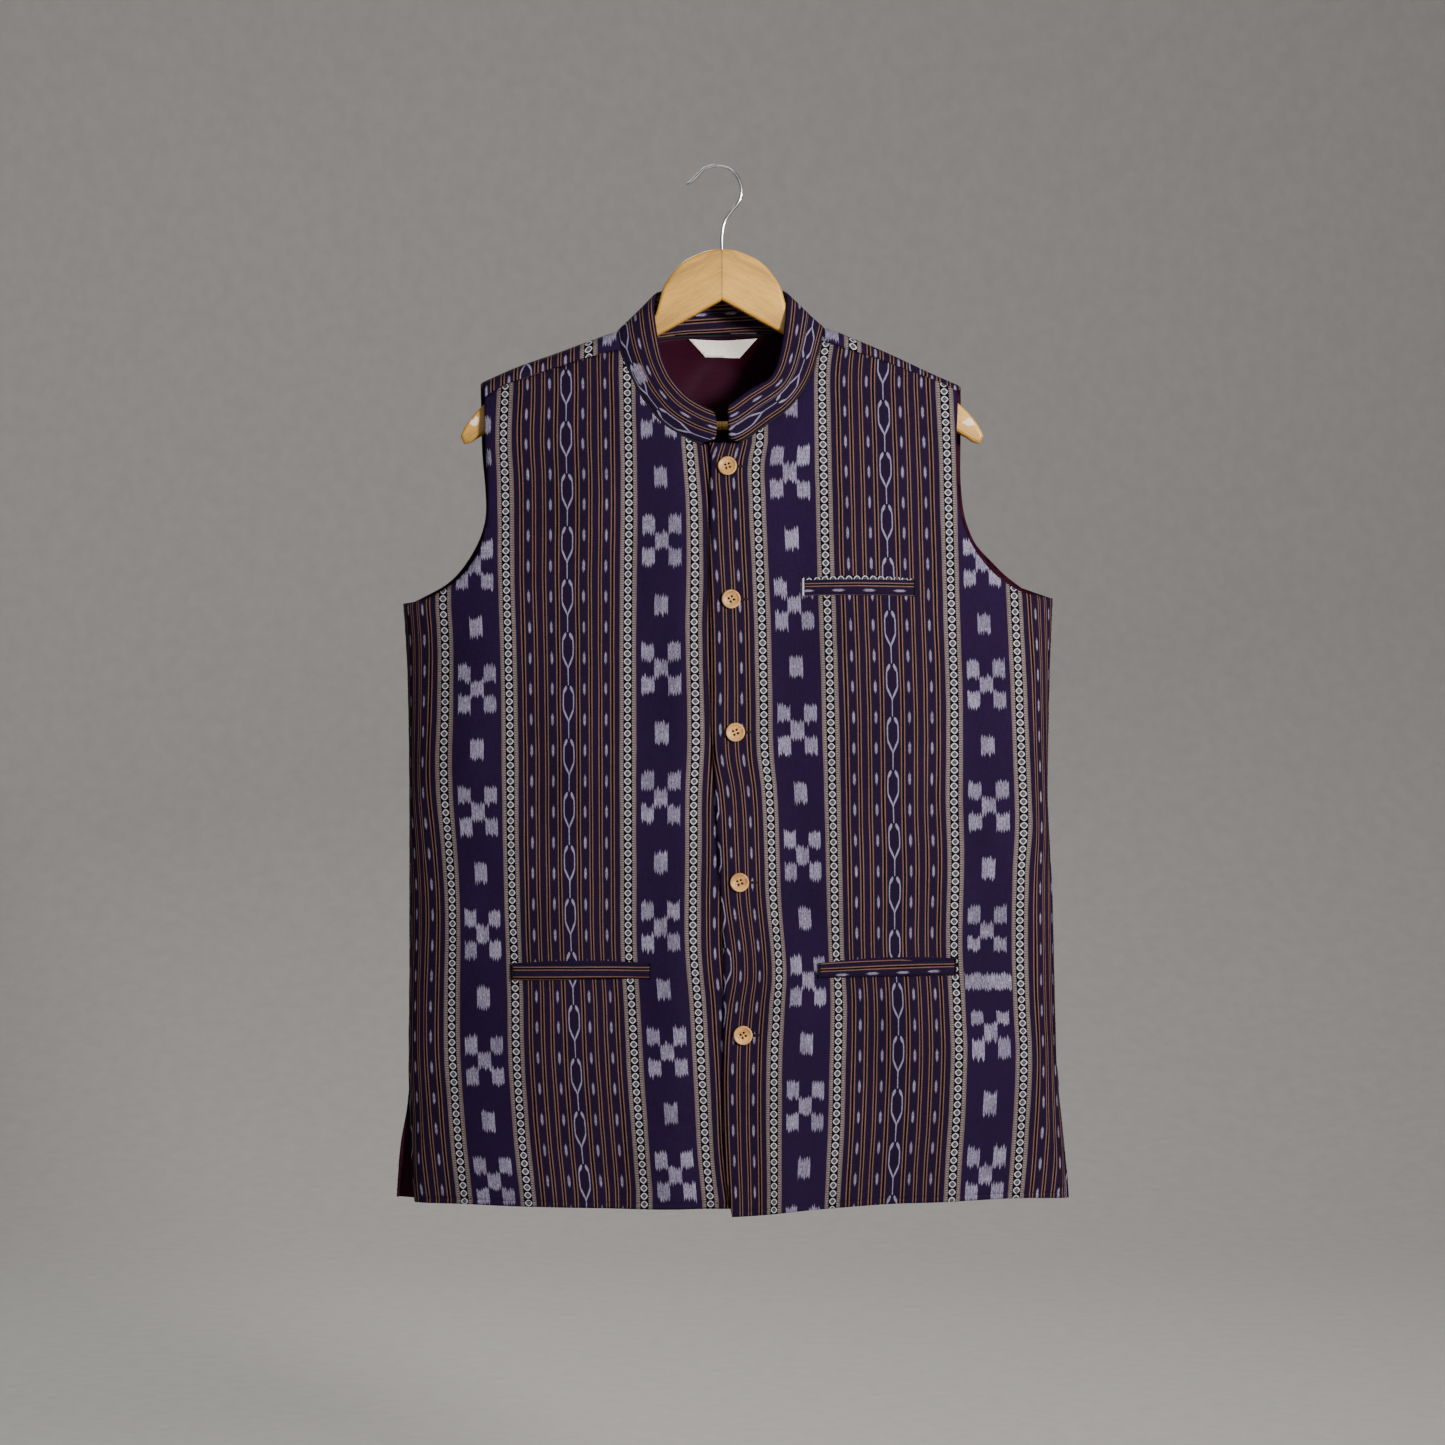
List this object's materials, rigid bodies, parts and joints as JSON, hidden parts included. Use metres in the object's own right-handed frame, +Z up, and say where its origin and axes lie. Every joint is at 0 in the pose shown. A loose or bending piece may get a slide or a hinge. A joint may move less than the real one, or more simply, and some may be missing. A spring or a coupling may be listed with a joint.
{
  "type": "nehru jacket on hanger",
  "caption": "Sleeveless stand-collar jacket in purple ikat stripe cloth with welt pockets and a buttoned front, hung on a wooden hanger.",
  "frame": {"origin": "inner crown of the hanger's hook, where a rail bears", "axes": "+Z up, +X towards the viewer's right of the front, +Y from the front to the back"},
  "size_m": [0.572, 0.0951, 0.8885],
  "materials": {
    "ikat_cloth": "matte",
    "satin_lining": "satin",
    "button_shell": "satin",
    "label_cloth": "matte",
    "hanger_wood": "satin",
    "hook_wire": "polished"
  },
  "bodies": {
    "root": {"front_right": "ikat_cloth", "front_left": "ikat_cloth", "back": "ikat_cloth", "collar": "ikat_cloth", "welt_breast": "ikat_cloth", "welt_lower_left": "ikat_cloth", "welt_lower_right": "ikat_cloth", "back_lining": "satin_lining", "neck_label": "label_cloth", "button_1": "button_shell", "button_2": "button_shell", "button_3": "button_shell", "button_4": "button_shell", "button_5": "button_shell", "hanger_wood": "hanger_wood", "hanger_bar": "hanger_wood", "hanger_hook": "hook_wire"}
  },
  "joints": []
}
